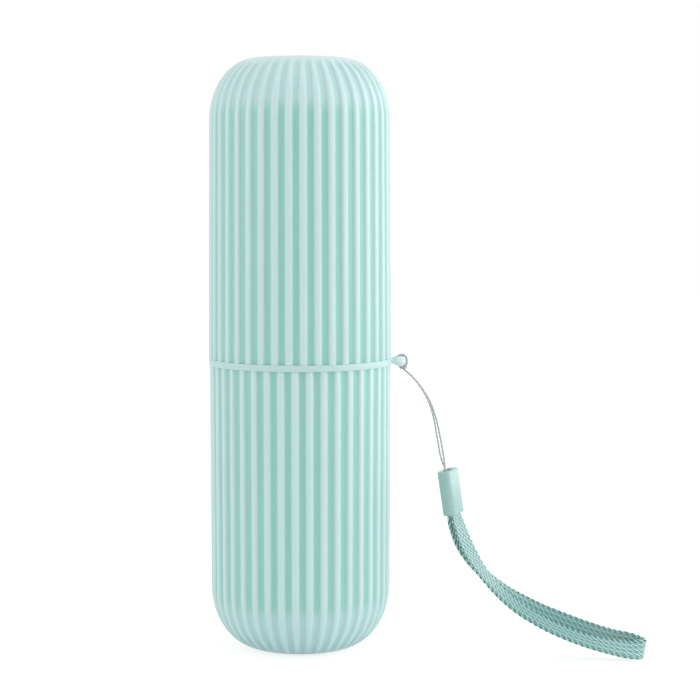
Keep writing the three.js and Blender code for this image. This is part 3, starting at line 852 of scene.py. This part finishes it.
def make_ring(material):
    """The band round the neck, with its arm and eyelet."""
    bm = bmesh.new()
    half = RING_THICKNESS / 2
    soft = RING_BORE_ROUND
    outline = (
        rounded_corner(RING_BORE + soft, -half + soft, soft, 180)
        + rounded_corner(RING_RADIUS - RING_ROUND, -half + RING_ROUND, RING_ROUND, 270)
        + rounded_corner(RING_RADIUS - RING_ROUND, half - RING_ROUND, RING_ROUND, 0)
        + rounded_corner(RING_BORE + soft, half - soft, soft, 90)
    )
    spun(bm, outline, RING_STEPS)
    bmesh.ops.remove_doubles(bm, verts=bm.verts, dist=1e-4)
    lug = bmesh.new()
    sides = 48
    rim = bmesh.ops.create_circle(lug, cap_ends=False, radius=EYELET_RADIUS, segments=sides)["verts"]
    hole = bmesh.ops.create_circle(lug, cap_ends=False, radius=EYELET_HOLE, segments=sides)["verts"]
    reach = EYELET.x - (RING_RADIUS - ARM_SINK)
    for vertex in rim:
        away = vertex.co.normalized()
        if away.x < 0:
            arm = min(reach / -away.x, ARM_WIDTH / 2 / max(abs(away.y), 1e-6))
            vertex.co = away * max(EYELET_RADIUS, arm)
    bmesh.ops.scale(lug, vec=(HOLE_STRETCH, 1, 1), verts=hole)
    bmesh.ops.translate(lug, vec=(-HOLE_INSET, 0, 0), verts=hole)
    bmesh.ops.bridge_loops(lug, edges=lug.edges[:])
    top = bmesh.ops.extrude_face_region(lug, geom=lug.faces[:])
    raised = [item for item in top["geom"] if isinstance(item, bmesh.types.BMVert)]
    bmesh.ops.translate(lug, vec=(0, 0, EYELET_THICKNESS), verts=raised)
    bmesh.ops.recalc_face_normals(lug, faces=lug.faces)
    corners = [e for e in lug.edges if len(e.link_faces) == 2 and e.calc_face_angle() > EYELET_CORNER]
    corners = [e for e in corners if abs(e.verts[0].co.z - e.verts[1].co.z) < 1e-6]
    inner, outer = [], []
    for edge in corners:
        x, y = edge.verts[0].co.xy
        near_hole = math.hypot((x + HOLE_INSET) / HOLE_STRETCH, y) < EYELET_HOLE * HOLE_MARGIN
        (inner if near_hole else outer).append(edge)
    for edges, size in ((outer, EYELET_ROUND), (inner, HOLE_ROUND)):
        bmesh.ops.bevel(lug, geom=edges, offset=size, affect="EDGES", segments=4, profile=0.5, material=-1)
    for vertex in lug.verts:
        thin = 1 - (1 - ARM_THICKNESS / EYELET_THICKNESS) * smoothstep(-vertex.co.x, *ARM_NARROWS)
        vertex.co.z = (vertex.co.z - EYELET_THICKNESS / 2) * thin
    bmesh.ops.translate(lug, vec=(EYELET.x, 0, 0), verts=lug.verts)
    part = bpy.data.meshes.new("ring_lug")
    lug.to_mesh(part)
    lug.free()
    bm.from_mesh(part)
    bpy.data.meshes.remove(part)
    # Painted light: the eyelet is painted paler than the band, standing in for the light it catches.
    painted_shading = bm.verts.layers.float.new("painted_shading")
    for vertex in bm.verts:
        vertex[painted_shading] = smoothstep(vertex.co.x - RING_RADIUS, *EYELET_PAINTED_LIGHT_FROM)
    bmesh.ops.translate(bm, vec=(0, 0, RING_MIDDLE), verts=bm.verts)
    return finish_piece(bm, "eyelet_ring", "ring", "strap_ring", material, sharp=SHARP_EDGE)


def on_ferrule():
    """The matrix that puts a piece made along +Z on the ferrule's axis, with its width along the tape's."""
    face = ferrule_face()
    turn = Matrix((FERRULE_RISE.cross(face), -face, FERRULE_RISE)).transposed().to_4x4()
    return Matrix.Translation(EYELET + FERRULE_FOOT) @ turn


def sleeve_ring(half_width, half_thickness, corner, height):
    """One ring of the ferrule: a rectangle with round corners, at a height."""
    wide, thick = half_width - corner, half_thickness - corner
    points = []
    for turn, (x, y) in enumerate(((wide, thick), (-wide, thick), (-wide, -thick), (wide, -thick))):
        points += rounded_corner(x, y, corner, 90 * turn, 8)
    return [(x, y, height) for x, y in points]


def make_ferrule(material):
    """The flat sleeve, open at its foot, with a slot for the thread in its end wall."""
    soft, lip = FERRULE_ROUND, FERRULE_LIP
    inside = FERRULE_LENGTH - FERRULE_TOP

    def sleeve(out, height):
        reach = FERRULE_WALL + out
        half_width, half_thickness = FERRULE_BORE_WIDTH / 2 + reach, FERRULE_BORE_THICKNESS / 2 + reach
        return sleeve_ring(half_width, half_thickness, FERRULE_CORNER + out, height)

    def slot(out, height):
        half_width, half_thickness = SLOT_WIDTH / 2 + out, SLOT_THICKNESS / 2 + out
        return sleeve_ring(half_width, half_thickness, half_thickness, height)

    foot = rounded_corner(lip - FERRULE_WALL, lip, lip, 180) + rounded_corner(-soft, soft, soft, 270)
    rings = [sleeve(*point) for point in foot + rounded_corner(-soft, FERRULE_LENGTH - soft, soft, 0)]
    rings += [slot(*point) for point in rounded_corner(lip, FERRULE_LENGTH - lip, lip, 90)]
    rings += [slot(0, inside), sleeve(-FERRULE_WALL, inside)]
    bm = bmesh.new()
    sides = len(rings[0])
    grid = bmesh.ops.create_grid(bm, x_segments=len(rings), y_segments=sides, size=0.5)
    for vertex in grid["verts"]:
        row = round((vertex.co.x + 0.5) * len(rings)) % len(rings)
        side = round((vertex.co.y + 0.5) * sides) % sides
        vertex.co = rings[row][side]
    bmesh.ops.remove_doubles(bm, verts=bm.verts, dist=1e-4)
    bmesh.ops.transform(bm, matrix=on_ferrule(), verts=bm.verts)
    return finish_piece(bm, "strap_ferrule", "ring", "ferrule", material, sharp=SHARP_EDGE)


def make_knot(material):
    """The overhand knot that keeps the thread's ends in the ferrule."""
    loop = []
    steps = 96
    for i in range(steps):
        turn = 2 * math.pi * i / steps
        x = math.sin(turn) + 2 * math.sin(2 * turn)
        y = math.cos(turn) - 2 * math.cos(2 * turn)
        loop.append(Vector((x, y, -math.sin(3 * turn))))
    wide = (KNOT_RADIUS - THREAD_DIAMETER / 2) / 3
    tall = KNOT_HEIGHT / 2 - THREAD_DIAMETER / 2
    place = on_ferrule() @ Matrix.Translation((THREAD_SHIFT, 0, KNOT_MIDDLE))
    line = [place @ Vector((p.x * wide, p.y * wide, p.z * tall)) for p in loop]
    line.append(line[0].copy())
    ways = tangents(line)
    ways[0] = ways[-1] = (line[1] - line[-2]).normalized()
    out = [(way.cross(FERRULE_RISE)).normalized() for way in ways]
    across = [o.cross(way) for o, way in zip(out, ways)]
    bm = bmesh.new()
    lay = bm.verts.layers.float_vector.new("lay")
    along = [0.1 * i for i in range(len(line))]
    tube(bm, line, across, out, ellipse(KNOT_STRAND, KNOT_STRAND, 8), lay, along, closed=True)
    return finish_piece(bm, "thread_end_knot", "ring", "thread_knot", material)


# Stage and light


def white_ray(tree):
    """A mask for the rays that show the plain white background."""
    path = tree.nodes.new("ShaderNodeLightPath")
    seen = value_node(tree, "MAXIMUM", path.outputs["Is Camera Ray"], path.outputs["Is Glossy Ray"])
    return value_node(tree, "MAXIMUM", seen, path.outputs["Is Transmission Ray"])


def make_floor():
    """A plain pale floor that is white to the camera and keeps the soft shadow."""
    bm = bmesh.new()
    bmesh.ops.create_circle(bm, cap_ends=True, radius=FLOOR_RADIUS, segments=96)
    bmesh.ops.translate(bm, vec=(0, 0, -FLOOR_DROP), verts=bm.verts)
    mesh = bpy.data.meshes.new("pale_floor")
    bm.to_mesh(mesh)
    bm.free()
    floor = bpy.data.objects.new("pale_floor", mesh)
    bpy.context.scene.collection.objects.link(floor)
    material = bpy.data.materials.new("pale_floor")
    material.use_nodes = True
    tree = material.node_tree
    tree.nodes.clear()
    result = tree.nodes.new("ShaderNodeOutputMaterial")
    table = tree.nodes.new("ShaderNodeBsdfDiffuse")
    table.inputs["Color"].default_value = TABLE_COLOUR
    catcher = tree.nodes.new("ShaderNodeBsdfDiffuse")
    catcher.inputs["Color"].default_value = CATCHER_COLOUR
    glow = tree.nodes.new("ShaderNodeEmission")
    glow.inputs["Strength"].default_value = FLOOR_GLOW
    white = tree.nodes.new("ShaderNodeAddShader")
    tree.links.new(catcher.outputs[0], white.inputs[0])
    tree.links.new(glow.outputs[0], white.inputs[1])
    pick = tree.nodes.new("ShaderNodeMixShader")
    tree.links.new(white_ray(tree), pick.inputs[0])
    tree.links.new(table.outputs[0], pick.inputs[1])
    tree.links.new(white.outputs[0], pick.inputs[2])
    tree.links.new(pick.outputs[0], result.inputs["Surface"])
    mesh.materials.append(material)


def make_world():
    """Even soft light all round, white where it is seen."""
    world = bpy.data.worlds.new("studio")
    bpy.context.scene.world = world
    world.use_nodes = True
    tree = world.node_tree
    tree.nodes.clear()
    result = tree.nodes.new("ShaderNodeOutputWorld")
    light = tree.nodes.new("ShaderNodeBackground")
    light.inputs["Strength"].default_value = WORLD_LIGHT
    white = tree.nodes.new("ShaderNodeBackground")
    white.inputs["Strength"].default_value = 1.0
    for node in (light, white):
        node.inputs["Color"].default_value = (1, 1, 1, 1)
    pick = tree.nodes.new("ShaderNodeMixShader")
    tree.links.new(white_ray(tree), pick.inputs[0])
    tree.links.new(light.outputs[0], pick.inputs[1])
    tree.links.new(white.outputs[0], pick.inputs[2])
    tree.links.new(pick.outputs[0], result.inputs["Surface"])


def make_lamp(name, place, size, power):
    """A round soft lamp that points at the object; its size is in metres and its power in watts."""
    lamp = bpy.data.lights.new(name, "AREA")
    lamp.shape = "DISK"
    lamp.size = size
    lamp.energy = power
    light = bpy.data.objects.new(name, lamp)
    light.location = place
    light.rotation_euler = (Vector(LAMP_AIM) - Vector(place)).to_track_quat("-Z", "Y").to_euler()
    bpy.context.scene.collection.objects.link(light)


place_camera()

moulded_skin = moulded_skin_group()
filament_lay = filament_group()
mint = plastic(
    "mint_plastic",
    moulded_skin,
    (0.605, 0.79, 0.80, 1),
    (0.63, 0.81, 0.82, 1),
    # Painted shade: this darker, greener second pair stands in for the shade in the grooves.
    (0.325, 0.645, 0.57, 1),
    (0.345, 0.665, 0.59, 1),
    roughness=0.36,
    shine=0.45,
)
ring_mint = plastic(
    "ring_plastic",
    moulded_skin,
    (0.52, 0.735, 0.725, 1),
    (0.56, 0.765, 0.755, 1),
    # Painted light: this paler second pair stands in for the light on the eyelet.
    (0.71, 0.875, 0.87, 1),
    (0.74, 0.895, 0.89, 1),
    roughness=0.42,
)
ferrule_mint = plastic(
    "ferrule_plastic",
    moulded_skin,
    (0.335, 0.55, 0.53, 1),
    (0.365, 0.58, 0.56, 1),
    roughness=0.26,
    shine=1.0,
)
teal_braid = yarn(
    "teal_braid",
    filament_lay,
    (0.66, 0.88, 0.875, 1),
    (0.53, 0.77, 0.755, 1),
    roughness=0.6,
    sheen=0.15,
    # Painted shade: the gap colour stands in for the shade between the yarns.
    gap=(0.035, 0.21, 0.19, 1),
    # Painted shade: the low colour darkens the tape near the ground.
    low=(0.72, 0.83, 0.825, 1),
)
grey_thread = yarn(
    "grey_thread",
    filament_lay,
    (0.56, 0.59, 0.62, 1),
    (0.40, 0.44, 0.47, 1),
    roughness=0.45,
    sheen=0.1,
)

thread, thread_line, thread_length = make_thread(grey_thread)
strap, strap_line, strap_length = make_strap(teal_braid)
ferrule = make_ferrule(ferrule_mint)
knot = make_knot(grey_thread)

make_case(mint)
make_cup(mint)
make_ring(ring_mint)

make_floor()
make_world()
make_lamp("key_light", (1.46, -0.48, 0.5), 1.6, 9.0)
make_lamp("fill_light", (-1.4, -0.45, 0.5), 1.0, 4.3)
make_lamp("rim_light", (1.35, 0.55, 0.28), 1.2, 6.2)
make_lamp("top_light", (0.1, -0.2, 1.5), 1.0, 3.0)
bpy.context.scene.view_settings.view_transform = "Standard"
